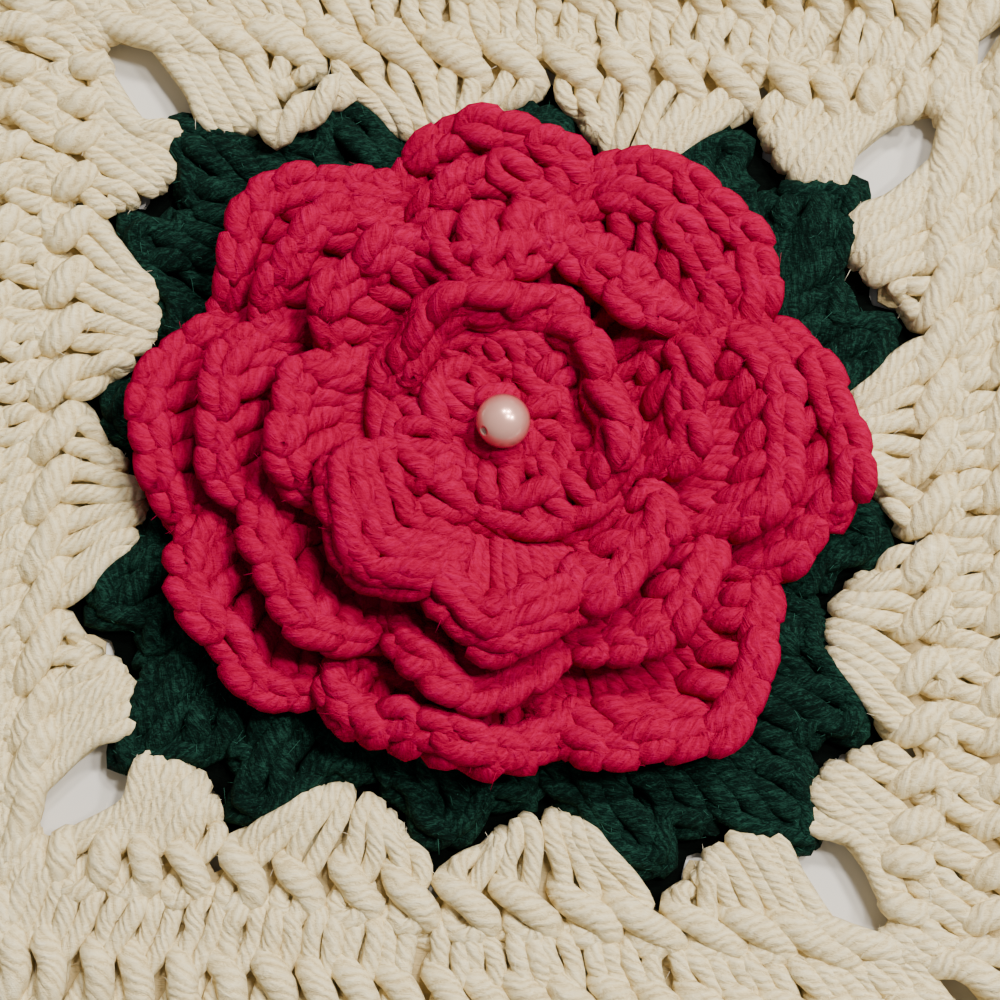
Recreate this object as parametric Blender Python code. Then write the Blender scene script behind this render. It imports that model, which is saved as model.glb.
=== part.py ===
"""One square of a granny square blanket, laid flat.

A raised crochet rose with a bead at its heart stands on a round of dark green
leaves, and a cream border of two crocheted rounds and a plain edging frames it.

Frame: metres, +Z up. The origin is the centre of the square's underside, and the
square's sides run along X and Y. Bearings are in degrees, clockwise from +Y seen
from above.
"""

import math

import bmesh
import bpy

MM = 0.001

# ---- driving dimensions ------------------------------------------------------

CLOTH_THICKNESS = 5.4 * MM      # three lengths of yarn lie over each other in a stitch
LEAF_THICKNESS = 4.6 * MM
PIECE_GAP = 0.3 * MM

TIP_RING = 46.0 * MM            # half-width of the square through the border's inner tips
NOTCH_RING = 55.0 * MM          # ... through the inner ends of its V-shaped notches
CORNER_NOTCH_RING = 52.8 * MM   # ... through the far ends of its corner notches
FIRST_ROUND = 60.3 * MM         # ... through the tops of the first cream round
SECOND_ROUND = 74.7 * MM        # ... through the tops of the second cream round
OUTER_EDGE = 79.5 * MM          # ... at the edging

LEAF_PEAK_RING = 51.5 * MM      # half-width through the tops of the leaves in the notches
LEAF_CORNER_RING = 46.5 * MM    # ... through the corner leaves
LEAF_NOTCH_RING = 38.5 * MM     # ... through the gaps between the leaves
LEAF_HUB_RADIUS = 21.6 * MM
LEAF_TO_TIP = 1.0 * MM          # measured outwards, which leaves about half of it square on

CORNER_HOLE_RING = 64.5 * MM    # centre of the hole at each corner of the second round
CORNER_HOLE_LENGTH = 8.0 * MM
CORNER_HOLE_WIDTH = 4.6 * MM

CLUSTERS_PER_SIDE = 4
STATIONS_PER_CLUSTER = 10
# Where the notches of one side fall, from -1 at its first corner to 1 at its last
NOTCH_PLACES = (-1.0, -0.47, 0.06, 0.56, 1.0)

# Hand work: the inner rounds lie a little turned and pulled out of square
TWIST = math.radians(3.0)
CORNER_PULLS = {
    # corner: how far it is pulled along X and Y
    (-1, 1): (-2.7 * MM, 0.3 * MM),
    (1, 1): (0.6 * MM, -0.4 * MM),
    (1, -1): (1.0 * MM, 0.7 * MM),
    (-1, -1): (0.6 * MM, 3.8 * MM),
}

ROSE_CENTRE = (0.5 * MM, 3.7 * MM)
HEART_CENTRE = (1.2 * MM, 4.7 * MM)
BEAD_CENTRE = (1.2 * MM, 4.9 * MM)
BEAD_DIAMETER = 7.0 * MM

CREAM = "E0D5BC"
LEAF_GREEN = "12483A"
ROSE_RED = "C8143F"
PEARL_IVORY = "EBCFC2"

# Each layer of the rose: its centre, its round foot, and the middle of its cloth there
LAYERS = {
    # name: centre, stations, foot floor, foot radius, middle height, half thickness, side reach
    "rose_outer_petals": (ROSE_CENTRE, 96, 0.0, 20.6 * MM, 6.5 * MM, 1.5 * MM, 0.74),
    "rose_middle_petals": (ROSE_CENTRE, 96, 8.3 * MM, 15.0 * MM, 9.8 * MM, 1.5 * MM, 0.66),
    "rose_inner_petals": (ROSE_CENTRE, 88, 11.6 * MM, 11.0 * MM, 13.1 * MM, 1.5 * MM, 0.62),
    "rose_heart": (HEART_CENTRE, 56, 14.9 * MM, 7.5 * MM, 16.2 * MM, 1.3 * MM, 0.80),
}

# Each petal is a fan of sections: from the foot, past the belly, to the rim.
# bearing and half spread in degrees, the rest in millimetres
PETALS = {
    "rose_outer_petals": (
        # bearing, half spread, belly out, belly up, rim out, rim up
        (-47, 24, 33, 6.6, 46.0, 9.5),
        (-4, 23, 33, 6.6, 43.8, 9.5),
        (39, 26, 33, 6.6, 45.2, 9.5),
        (89, 27, 34, 6.6, 48.5, 9.8),
        (140, 27, 34, 6.6, 48.2, 9.8),
        (188, 24, 47, 7.0, 36.5, 13.5),
        (234, 24, 34, 6.6, 47.6, 9.6),
        (272, 23, 34, 6.6, 48.5, 9.8),
    ),
    "rose_middle_petals": (
        (-47, 24, 27, 10.2, 38.0, 14.6),
        (-5, 22, 26, 10.2, 36.0, 15.2),
        (36, 26, 27, 10.2, 38.2, 14.8),
        (85, 25, 28, 10.2, 39.6, 14.6),
        (133, 26, 25, 10.4, 34.4, 14.8),
        (183, 25, 25, 10.6, 33.8, 15.0),
        (233, 27, 26, 10.4, 36.0, 14.6),
        (274, 24, 28, 10.2, 38.8, 14.8),
    ),
    "rose_inner_petals": (
        (-43, 22, 20, 13.6, 29.0, 18.6),
        (-6, 24, 40, 17.0, 18.0, 21.8),
        (34, 23, 40, 16.6, 22.0, 21.4),
        (74, 24, 20, 13.6, 26.4, 18.8),
        (132, 25, 19, 13.6, 26.2, 18.6),
        (175, 23, 20, 13.6, 27.4, 18.6),
        (228, 27, 17, 13.8, 23.4, 18.2),
        (269, 22, 20, 13.6, 29.2, 18.4),
    ),
    "rose_heart": (
        (-10, 50, 19, 17.2, 14.8, 22.4),
        (70, 50, 18, 17.0, 14.0, 22.0),
        (190, 85, 10, 16.4, 12.4, 17.4),
    ),
}

# ---- looks -------------------------------------------------------------------


def linear(hex_colour):
    """Linear red, green, blue and alpha of an sRGB colour written as six hex digits."""
    shares = [int(hex_colour[i:i + 2], 16) / 255 for i in (0, 2, 4)]
    return [s / 12.92 if s <= 0.04045 else ((s + 0.055) / 1.055) ** 2.4 for s in shares] + [1.0]


def make_material(name, hex_colour, roughness):
    """A plain Principled material."""
    material = bpy.data.materials.new(name)
    material.use_nodes = True
    shader = material.node_tree.nodes["Principled BSDF"]
    shader.inputs["Base Color"].default_value = linear(hex_colour)
    shader.inputs["Roughness"].default_value = roughness
    shader.inputs["Metallic"].default_value = 0.0
    return material


# ---- shared shaping ----------------------------------------------------------


def tube_blank(stations, rows):
    """A tube of radius 1 with a ring of points at each whole height from 0 to rows - 1."""
    bm = bmesh.new()
    bmesh.ops.create_circle(bm, segments=stations, radius=1.0)
    first = bm.edges[:]
    last = first
    for _ in range(rows - 1):
        grown = bmesh.ops.extrude_edge_only(bm, edges=last)["geom"]
        last = [g for g in grown if isinstance(g, bmesh.types.BMEdge)]
        points = [g for g in grown if isinstance(g, bmesh.types.BMVert)]
        bmesh.ops.translate(bm, vec=(0.0, 0.0, 1.0), verts=points)
    return bm, first, last


def ring_body(stations, rows, place):
    """A closed ring: the tube's two ends are joined, and place() puts each point."""
    bm, first, last = tube_blank(stations, len(rows))
    bmesh.ops.bridge_loops(bm, edges=first + last)
    put_points(bm, rows, place)
    return bm


def capped_body(stations, rows, place):
    """A closed lump: the tube's two ends are filled, and place() puts each point."""
    bm, first, last = tube_blank(stations, len(rows))
    bmesh.ops.edgeloop_fill(bm, edges=first)
    bmesh.ops.edgeloop_fill(bm, edges=last)
    put_points(bm, rows, place)
    return bm


def put_points(bm, rows, place):
    """Move each point of the tube to where its bearing and its row belong."""
    for vert in bm.verts:
        bearing = math.degrees(math.atan2(vert.co.x, vert.co.y)) % 360.0
        vert.co = place(bearing, rows[round(vert.co.z)])


def finish(bm, name, material):
    """Turn the mesh into a smooth-shaded object with its faces pointing out."""
    bmesh.ops.recalc_face_normals(bm, faces=bm.faces)
    mesh = bpy.data.meshes.new(name)
    bm.to_mesh(mesh)
    bm.free()
    mesh.shade_smooth()
    mesh.materials.append(material)
    thing = bpy.data.objects.new(name, mesh)
    bpy.context.scene.collection.objects.link(thing)
    return thing


def blend(low, high, share):
    """The value at a share of the way from low to high."""
    return low + (high - low) * share


def smooth(share):
    """A share from 0 to 1 eased at both ends."""
    held = min(1.0, max(0.0, share))
    return held * held * (3.0 - 2.0 * held)


def compass(radius, bearing, centre=(0.0, 0.0)):
    """X and Y of a point at a radius and a bearing from a centre."""
    turn = math.radians(bearing)
    return centre[0] + radius * math.sin(turn), centre[1] + radius * math.cos(turn)


# ---- the square's rounds -----------------------------------------------------


def along_side(bearing):
    """Side number, place along it from -1 to 1, and share of the way between two notches."""
    turns = ((bearing + 45.0) % 360.0) / 90.0
    side = int(turns)
    steps = (turns - side) * CLUSTERS_PER_SIDE
    cluster = min(int(steps), CLUSTERS_PER_SIDE - 1)
    share = steps - cluster
    place = blend(NOTCH_PLACES[cluster], NOTCH_PLACES[cluster + 1], share)
    from_notch = min(share, 1.0 - share)
    at_corner = (cluster == 0 and share < 0.5) or (cluster == CLUSTERS_PER_SIDE - 1 and share >= 0.5)
    return side, place, from_notch, at_corner


def settle(x, y):
    """Turn and pull a point of the true square to where the hand-made rounds put it."""
    ring = max(abs(x), abs(y))
    hold = 1.0 - smooth((ring - TIP_RING - 6 * MM) / (SECOND_ROUND - TIP_RING - 6 * MM))
    turn = -TWIST * hold
    turned_x = x * math.cos(turn) - y * math.sin(turn)
    turned_y = x * math.sin(turn) + y * math.cos(turn)
    across, up = x / TIP_RING, y / TIP_RING
    for (corner_x, corner_y), (pull_x, pull_y) in CORNER_PULLS.items():
        weight = max(0.0, 1 + corner_x * across) * max(0.0, 1 + corner_y * up) / 4
        turned_x += pull_x * hold * min(1.0, weight)
        turned_y += pull_y * hold * min(1.0, weight)
    return turned_x, turned_y


def on_square(side, place, ring):
    """X and Y on the settled square of a half-width, on a side numbered clockwise from +Y."""
    turn = math.radians(90.0 * side)
    x = ring * math.sin(turn) + ring * place * math.cos(turn)
    y = ring * math.cos(turn) - ring * place * math.sin(turn)
    return settle(x, y)


def border_inner_ring(from_notch, at_corner):
    """Half-width of the border's inner edge: round tips with V-shaped notches between."""
    notch = CORNER_NOTCH_RING if at_corner else NOTCH_RING
    depth = 0.5 + 0.5 * math.cos(math.pi * min(1.0, from_notch / 0.26))
    return blend(TIP_RING, notch, depth)


def leaf_outer_ring(from_notch, at_corner):
    """Half-width of the leaves' outer edge: a blunt peak in each notch, a gap at each tip."""
    peak = LEAF_CORNER_RING if at_corner else LEAF_PEAK_RING
    rise = 1.0 - min(1.0, from_notch / 0.40) ** 4
    own = blend(LEAF_NOTCH_RING, peak, rise)
    return min(own, border_inner_ring(from_notch, at_corner) - LEAF_TO_TIP)


# Section of the border, around from its underside: between which rings, share of the
# way across, and height as a share of the cloth's thickness. It dips between rounds.
BORDER_SECTION = (
    ("inner", "first", 0.06, 0.0),
    ("second", "edge", 0.80, 0.0),
    ("second", "edge", 1.00, 0.45),
    ("second", "edge", 0.85, 0.85),
    ("second", "edge", 0.50, 0.95),
    ("second", "edge", 0.00, 0.86),
    ("first", "second", 0.50, 1.00),
    ("first", "second", 0.00, 0.86),
    ("inner", "first", 0.55, 1.00),
    ("inner", "first", 0.10, 0.88),
    ("inner", "first", 0.00, 0.50),
)

# Section of the leaves: share of the way out from the hub, and height in the same way
LEAF_SECTION = (
    (0.04, 0.0),
    (0.96, 0.0),
    (1.00, 0.45),
    (0.93, 0.85),
    (0.50, 1.0),
    (0.07, 0.9),
    (0.00, 0.5),
)


def border_point(bearing, row):
    """A point of the cream border."""
    start, end, share, height = row
    side, place, from_notch, at_corner = along_side(bearing)
    rings = {
        "inner": border_inner_ring(from_notch, at_corner),
        "first": FIRST_ROUND,
        "second": SECOND_ROUND,
        "edge": OUTER_EDGE,
    }
    x, y = on_square(side, place, blend(rings[start], rings[end], share))
    return x, y, CLOTH_THICKNESS * height


def leaf_point(bearing, row):
    """A point of the green round, from its round hub to its starry edge."""
    share, height = row
    side, place, from_notch, at_corner = along_side(bearing)
    edge_x, edge_y = on_square(side, place, leaf_outer_ring(from_notch, at_corner))
    away = math.hypot(edge_x - ROSE_CENTRE[0], edge_y - ROSE_CENTRE[1])
    hub_x = ROSE_CENTRE[0] + (edge_x - ROSE_CENTRE[0]) * LEAF_HUB_RADIUS / away
    hub_y = ROSE_CENTRE[1] + (edge_y - ROSE_CENTRE[1]) * LEAF_HUB_RADIUS / away
    return blend(hub_x, edge_x, share), blend(hub_y, edge_y, share), LEAF_THICKNESS * height


def cut_corner_holes(border):
    """Cut the hole at each corner of the second round, long way along the diagonal."""
    for number, bearing in enumerate((45.0, 135.0, 225.0, 315.0)):
        x, y = compass(CORNER_HOLE_RING * math.sqrt(2.0), bearing)
        bpy.ops.mesh.primitive_cylinder_add(
            vertices=14, radius=CORNER_HOLE_WIDTH / 2, depth=4 * CLOTH_THICKNESS, location=(x, y, 0.0))
        cutter = bpy.context.object
        cutter.name = f"corner_hole_cutter_{number}"
        cutter.scale.y = CORNER_HOLE_LENGTH / CORNER_HOLE_WIDTH
        cutter.rotation_euler.z = -math.radians(bearing)
        cutter.hide_render = True
        cutter.display_type = "WIRE"
        cut = border.modifiers.new(f"corner_hole_{number}", "BOOLEAN")
        cut.operation = "DIFFERENCE"
        cut.solver = "EXACT"
        cut.object = cutter


def make_square():
    """The cream border and the green round that lies inside it."""
    stations = 4 * CLUSTERS_PER_SIDE * STATIONS_PER_CLUSTER
    cream = make_material("cream_yarn", CREAM, 0.9)
    green = make_material("green_yarn", LEAF_GREEN, 0.9)
    border = finish(ring_body(stations, BORDER_SECTION, border_point), "cream_border", cream)
    cut_corner_holes(border)
    finish(ring_body(stations, LEAF_SECTION, leaf_point), "leaf_round", green)


# ---- the rose ----------------------------------------------------------------


def away_from(bearing, other):
    """Degrees from one bearing to another, at most 180."""
    return abs((bearing - other + 180.0) % 360.0 - 180.0)


def petal_section(petals, foot, bearing, side_reach):
    """The foot, belly and rim of the cloth at a bearing, and how far out it goes there."""
    total, belly_out, belly_up, rim_out, rim_up = 0.0, 0.0, 0.0, 0.0, 0.0
    reach = side_reach
    for centre, spread, *places in petals:
        share = away_from(bearing, centre) / spread
        reach = max(reach, blend(side_reach, 1.0, math.sqrt(max(0.0, 1.0 - share ** 2.5))))
        weight = max(0.0, 1.25 - share) ** 2
        total += weight
        belly_out += weight * places[0] * MM
        belly_up += weight * places[1] * MM
        rim_out += weight * places[2] * MM
        rim_up += weight * places[3] * MM
    belly = (belly_out / total, belly_up / total)
    rim = (rim_out / total, rim_up / total)
    return foot, belly, rim, reach


def along_section(section, share):
    """Radius and height at a share of the section's reach, and the way square to it."""
    foot, belly, rim, reach = section
    t = share * reach
    point = [(1 - t) ** 2 * a + 2 * t * (1 - t) * b + t * t * c for a, b, c in zip(foot, belly, rim)]
    run = [2 * (1 - t) * (b - a) + 2 * t * (c - b) for a, b, c in zip(foot, belly, rim)]
    length = math.hypot(*run)
    return point, (-run[1] / length, run[0] / length)


# Section of a layer, around from under its foot: what the point belongs to, share of
# the way out, and how much of the half thickness it stands above the cloth's middle
LAYER_SECTION = (
    ("floor", 0.12, 0.0),
    ("floor", 0.985, 0.0),
    ("petal", 0.03, -1.0),
    ("petal", 0.35, -1.0),
    ("petal", 0.68, -1.0),
    ("petal", 0.95, -0.8),
    ("petal", 1.00, 0.0),
    ("petal", 0.95, 0.8),
    ("petal", 0.68, 1.0),
    ("petal", 0.35, 1.0),
    ("petal", 0.00, 1.0),
    ("top", 0.12, 1.0),
)


def make_layer(name, material):
    """One layer of petals with its round foot, as one closed body."""
    centre, stations, floor, foot_radius, middle, half, side_reach = LAYERS[name]
    foot = (foot_radius, middle)

    def point(bearing, row):
        part, share, lift = row
        if part == "floor":
            return *compass(foot_radius * share, bearing, centre), floor
        if part == "top":
            return *compass(foot_radius * share, bearing, centre), middle + half
        section = petal_section(PETALS[name], foot, bearing, side_reach)
        (radius, height), (out, up) = along_section(section, share)
        x, y = compass(radius + out * lift * half, bearing, centre)
        return x, y, height + up * lift * half

    finish(capped_body(stations, LAYER_SECTION, point), name, material)


def make_rose():
    """The four layers, stacked a hair apart, and the bead on the heart."""
    red = make_material("red_yarn", ROSE_RED, 0.85)
    for name in LAYERS:
        make_layer(name, red)
    _, _, _, _, heart_middle, heart_half, _ = LAYERS["rose_heart"]
    radius = BEAD_DIAMETER / 2
    height = heart_middle + heart_half + PIECE_GAP + radius
    bm = bmesh.new()
    bmesh.ops.create_uvsphere(bm, u_segments=24, v_segments=12, radius=radius)
    bmesh.ops.translate(bm, vec=(*BEAD_CENTRE, height), verts=bm.verts)
    finish(bm, "pearl_bead", make_material("pearl", PEARL_IVORY, 0.2))


def main():
    for old in list(bpy.data.objects):
        bpy.data.objects.remove(old, do_unlink=True)
    make_square()
    make_rose()


main()
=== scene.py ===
"""Looks of one granny square: every round is worked stitch by stitch in thick yarn.

Each round or petal is a row of stitches. A stitch is a short route of the yarn, given in
stitch widths, stitch heights and yarn radii, which its row lays on the cloth's form. The
routes of a row join into one endless strand, and a curve with a bevel gives it its body.
Lengths are in millimetres until a mesh is made. Bearings are in degrees, clockwise from
+Y seen from above, and work goes round to the left, as a right-handed maker's does.
"""

import logging
import math
from collections.abc import Callable
from dataclasses import dataclass, field, replace
from enum import Enum

import bmesh
import bpy
import numpy as np
from mathutils import Matrix, Vector


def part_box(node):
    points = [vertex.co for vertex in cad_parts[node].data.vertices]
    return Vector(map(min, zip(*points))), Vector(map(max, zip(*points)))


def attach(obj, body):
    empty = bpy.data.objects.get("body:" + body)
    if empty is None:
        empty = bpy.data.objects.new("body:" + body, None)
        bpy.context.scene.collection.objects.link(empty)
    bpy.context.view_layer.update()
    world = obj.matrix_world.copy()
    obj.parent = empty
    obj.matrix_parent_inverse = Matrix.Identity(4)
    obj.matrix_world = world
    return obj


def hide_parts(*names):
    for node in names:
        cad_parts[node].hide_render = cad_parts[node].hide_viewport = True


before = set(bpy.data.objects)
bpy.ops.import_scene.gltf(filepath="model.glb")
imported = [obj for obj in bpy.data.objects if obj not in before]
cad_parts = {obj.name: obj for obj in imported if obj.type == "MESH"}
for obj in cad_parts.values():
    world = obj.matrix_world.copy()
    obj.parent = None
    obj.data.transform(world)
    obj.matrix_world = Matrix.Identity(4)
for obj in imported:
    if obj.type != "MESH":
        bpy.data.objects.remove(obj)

MM = 0.001
MATH = "ShaderNodeMath"
TIMES, ADD, SINE = {"operation": "MULTIPLY"}, {"operation": "MULTIPLY_ADD"}, {"operation": "SINE"}
LOG = logging.getLogger("granny_square")

# The rose's axis, a little off the square's own
ROSE_CENTRE = (0.5, 3.7)

# The yarns' radii, each as it lies in its own stitches
CREAM_RADIUS, GREEN_RADIUS, RED_RADIUS = 1.46, 1.32, 1.42


# ---- the yarn's way through each stitch ----------------------------------------

# Each table: across in stitch widths to the right, up in stitch heights, out of the cloth
# towards the eye in yarn radii, and the yarn's thickness there, 1 being its usual one

# Yarn over, slack round the post's top, then the two taut legs, then the loop that is
# drawn through them
DOUBLE_POST = (
    (0.62, 0.95, -0.9, 0.9),
    (0.30, 0.92, -1.3, 0.9),
    (-0.10, 0.90, -1.1, 1.0),
    (-0.36, 0.88, 0.0, 1.15),
    (-0.36, 0.80, 1.1, 1.35),
    (-0.18, 0.70, 1.55, 1.4),
    (0.08, 0.59, 1.5, 1.4),
    (0.32, 0.50, 0.9, 1.3),
    (0.38, 0.40, -0.4, 1.0),
    (0.22, 0.28, -1.1, 0.9),
    (0.10, 0.16, -1.25, 0.85),
    (0.10, -0.02, -0.8, 0.85),
    (0.20, -0.10, 0.3, 0.9),
    (0.26, 0.04, 1.2, 0.95),
    (0.25, 0.26, 1.15, 0.95),
    (0.19, 0.50, 0.7, 0.95),
    (0.00, 0.62, 0.3, 0.9),
    (-0.19, 0.50, 0.8, 0.95),
    (-0.27, 0.26, 1.15, 0.95),
    (-0.25, 0.04, 1.15, 0.95),
    (-0.14, -0.10, 0.2, 0.9),
    (-0.04, 0.00, -1.0, 0.85),
    (-0.03, 0.22, -1.25, 0.85),
    (-0.04, 0.50, -0.9, 0.9),
    (-0.20, 0.66, -0.2, 1.0),
    (-0.26, 0.81, 0.7, 1.05),
    (-0.14, 0.92, 1.0, 1.05),
    (0.05, 0.94, 0.9, 1.05),
    (0.21, 0.86, 0.7, 1.0),
    (0.20, 0.72, -0.2, 0.95),
    (0.10, 0.60, -0.9, 0.9),
    (0.02, 0.72, -1.3, 0.9),
    (0.00, 0.84, -1.3, 0.9),
)

SINGLE_POST = (
    (0.62, 0.90, -0.9, 0.95),
    (0.30, 0.80, -1.3, 0.95),
    (0.10, 0.45, -1.3, 0.95),
    (0.12, 0.02, -1.0, 0.95),
    (0.22, -0.14, 0.2, 1.0),
    (0.28, 0.10, 1.15, 1.05),
    (0.18, 0.50, 1.35, 1.05),
    (-0.02, 0.78, 1.1, 1.0),
    (-0.22, 0.50, 1.35, 1.05),
    (-0.26, 0.10, 1.15, 1.05),
    (-0.18, -0.14, 0.2, 1.0),
    (-0.06, 0.05, -1.0, 0.95),
    (0.00, 0.50, -1.3, 0.95),
)

# The loop that closes a stitch and lies along its top edge, one half of the braid. Its up
# is in yarn radii from the top edge, because the braid is as thick on every stitch.
TOP_LOOP = (
    (0.22, -1.6, -0.7, 0.9),
    (0.30, -1.45, 0.0, 0.95),
    (0.06, -1.3, 0.8, 1.05),
    (-0.40, -1.15, 1.2, 1.1),
    (-0.88, -1.0, 1.3, 1.1),
    (-1.20, -0.50, 0.8, 1.0),
    (-1.00, 0.15, 0.1, 1.05),
    (-0.52, 0.35, -0.2, 1.1),
    (-0.14, 0.1, -0.6, 1.0),
)


class Stitch(Enum):
    """The kinds of stitch, each with its post's route."""

    DOUBLE = DOUBLE_POST
    SINGLE = SINGLE_POST


# ---- finishes ------------------------------------------------------------------


def linear(hex_colour: str) -> tuple[float, float, float, float]:
    """Turn an sRGB colour into linear light.

    Args:
        hex_colour: six hex digits.

    Returns:
        Red, green, blue and an alpha of 1.
    """
    shares = [int(hex_colour[i:i + 2], 16) / 255 for i in (0, 2, 4)]
    red, green, blue = (s / 12.92 if s <= 0.04045 else ((s + 0.055) / 1.055) ** 2.4 for s in shares)
    return red, green, blue, 1.0


def add_node(material: bpy.types.Material, kind: str, settings: dict | None = None,
             values: dict | None = None, links: dict | None = None) -> bpy.types.Node:
    """Add a node with its settings, socket values and incoming links.

    Args:
        material: the material whose tree gets the node.
        kind: the node's class name.
        settings: its properties.
        values: socket name or number to the value it holds.
        links: socket name or number to the output, or the node by its first output, that
            feeds it.

    Returns:
        The node.
    """
    tree = material.node_tree
    node = tree.nodes.new(kind)
    for name, value in (settings or {}).items():
        setattr(node, name, value)
    for name, value in (values or {}).items():
        node.inputs[name].default_value = value
    for name, source in (links or {}).items():
        output = source.outputs[0] if isinstance(source, bpy.types.Node) else source
        tree.links.new(output, node.inputs[name])
    return node


def new_material(name: str) -> tuple[bpy.types.Material, bpy.types.Node]:
    """Start a node material.

    Args:
        name: its name.

    Returns:
        The material and its shader.
    """
    material = bpy.data.materials.new(name)
    material.use_nodes = True
    return material, material.node_tree.nodes["Principled BSDF"]


@dataclass(frozen=True)
class YarnFinish:
    """Thick acrylic worsted, softly spun: twisted plies, fine streaks of fibre, a soft halo of fibre.

    The UV map of a strand gives metres along it and shares of a turn around it. Its colour
    runs from painted shade, a darker copy in the grooves between the plies, up to a painted
    highlight, a lighter copy where the loose fibre catches the light; the streaks and the
    grain push it both ways as well as mottling it. Heights and tones are weights of the
    plies, the streaks along them and the grain over them.
    """

    name: str
    slot: str
    colour: str
    shade: str
    fibre_highlight: str
    fuzz_highlight: str
    gap_shade: str
    ply_height: float = 1.0
    groove_shade: float = 0.24
    streak: float = 0.36
    grain_tone: float = 0.75
    grain_height: float = 1.30
    relief_mm: float = 0.27
    gloss: float = 0.06
    sheen: float = 0.12
    plies: int = 5
    ply_turn_mm: float = 7.5
    streak_mm: float = 0.26
    streak_long_mm: float = 1.8
    grain_mm: float = 0.26
    girth_mm: float = 8.3

    def ply_ridges(self, mat: bpy.types.Material, along: bpy.types.NodeSocket, around: bpy.types.NodeSocket,
                   cloud: bpy.types.Node) -> tuple[bpy.types.Node, bpy.types.Node]:
        """Wind round ridges about the strand, unevenly.

        Args:
            mat: the material.
            along: metres along the strand.
            around: shares of a turn around it.
            cloud: soft noise that makes the ridges uneven.

        Returns:
            The turns that the plies have wound, and the height of their ridges.
        """
        winding = add_node(mat, MATH, ADD, {1: 1000.0 / self.ply_turn_mm}, {0: along, 2: around})
        uneven = add_node(mat, MATH, ADD, {1: 0.55}, {0: cloud, 2: winding})
        wave = add_node(mat, MATH, SINE, links={
            0: add_node(mat, MATH, TIMES, {1: math.pi * self.plies}, {0: uneven})})
        ridge = add_node(mat, MATH, {"operation": "ABSOLUTE"}, links={0: wave})
        return winding, add_node(mat, MATH, {"operation": "POWER"}, {1: 1.7}, {0: ridge})

    def fibre_streaks(self, mat: bpy.types.Material, along: bpy.types.NodeSocket,
                      winding: bpy.types.Node) -> bpy.types.Node:
        """Draw out noise along the plies, on a circle around the strand, so that it has no seam.

        Single fibres are too fine to show, so the streaks are as wide as bundles of them.

        Args:
            mat: the material.
            along: metres along the strand.
            winding: the turns that the plies have wound.

        Returns:
            The noise.
        """
        angle = add_node(mat, MATH, TIMES, {1: 2.0 * math.pi}, {0: winding})
        girth = self.girth_mm / self.streak_mm / (2.0 * math.pi)
        sine = add_node(mat, MATH, SINE, links={0: angle})
        cosine = add_node(mat, MATH, {"operation": "COSINE"}, links={0: angle})
        circle = add_node(mat, "ShaderNodeCombineXYZ", links={
            0: add_node(mat, MATH, TIMES, {1: 1000.0 / self.streak_long_mm}, {0: along}),
            1: add_node(mat, MATH, TIMES, {1: girth}, {0: sine}),
            2: add_node(mat, MATH, TIMES, {1: girth}, {0: cosine})})
        return add_node(mat, "ShaderNodeTexNoise", values={
            "Scale": 1.0, "Detail": 2.0, "Roughness": 0.6, "Distortion": 0.9}, links={"Vector": circle})

    def loose_grain(self, mat: bpy.types.Material, place: bpy.types.NodeSocket) -> bpy.types.Node:
        """Lay a grain of loose fibre over them, combed one way and curled by its own distortion. In the
        colour it runs between painted shade and painted highlight.

        It is as coarse as it has to be to show, like the streaks.

        Args:
            mat: the material.
            place: the place in the scene.

        Returns:
            The noise.
        """
        combed = add_node(mat, "ShaderNodeMapping", values={
            "Rotation": (0.3, 0.2, 0.6), "Scale": (0.3, 1.0, 1.0)}, links={"Vector": place})
        return add_node(mat, "ShaderNodeTexNoise", values={
            "Scale": 500.0 / self.grain_mm, "Detail": 3.0, "Roughness": 0.7, "Distortion": 2.4},
            links={"Vector": combed})

    def material(self) -> bpy.types.Material:
        """Build the node material of the yarn.

        Returns:
            The material.
        """
        mat, shader = new_material(self.name)
        parts = add_node(mat, "ShaderNodeSeparateXYZ", links={
            0: add_node(mat, "ShaderNodeUVMap", {"uv_map": "UVMap"})})
        along, around = parts.outputs[0], parts.outputs[1]
        place = add_node(mat, "ShaderNodeTexCoord").outputs["Object"]
        cloud = add_node(mat, "ShaderNodeTexNoise", values={"Scale": 220.0, "Detail": 2.0},
                         links={"Vector": place})
        winding, ply = self.ply_ridges(mat, along, around, cloud)
        fibre = self.fibre_streaks(mat, along, winding)
        grain = self.loose_grain(mat, place)

        # Painted shade and highlight: the ply ridges darken the grooves, and the streaks, grain and cloud
        # lift the colour towards a lit copy and drop it towards a shaded one
        tone = add_node(mat, MATH, ADD, {
            1: self.groove_shade, 2: 0.10 - 0.55 * self.groove_shade - 0.5 * self.streak}, {0: ply})
        tone = add_node(mat, MATH, ADD, {1: self.streak}, {0: fibre, 2: tone})
        tone = add_node(mat, MATH, ADD, {1: self.grain_tone}, {0: grain, 2: tone})
        tone = add_node(mat, MATH, ADD, {1: 0.25}, {0: cloud, 2: tone})
        base = add_node(mat, "ShaderNodeValToRGB", links={0: tone})
        base.color_ramp.elements.new(0.58)
        for stop, (position, colour) in zip(base.color_ramp.elements, (
                (0.38, self.shade), (0.58, self.colour), (0.82, self.fibre_highlight))):
            stop.position, stop.color = position, linear(colour)

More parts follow.
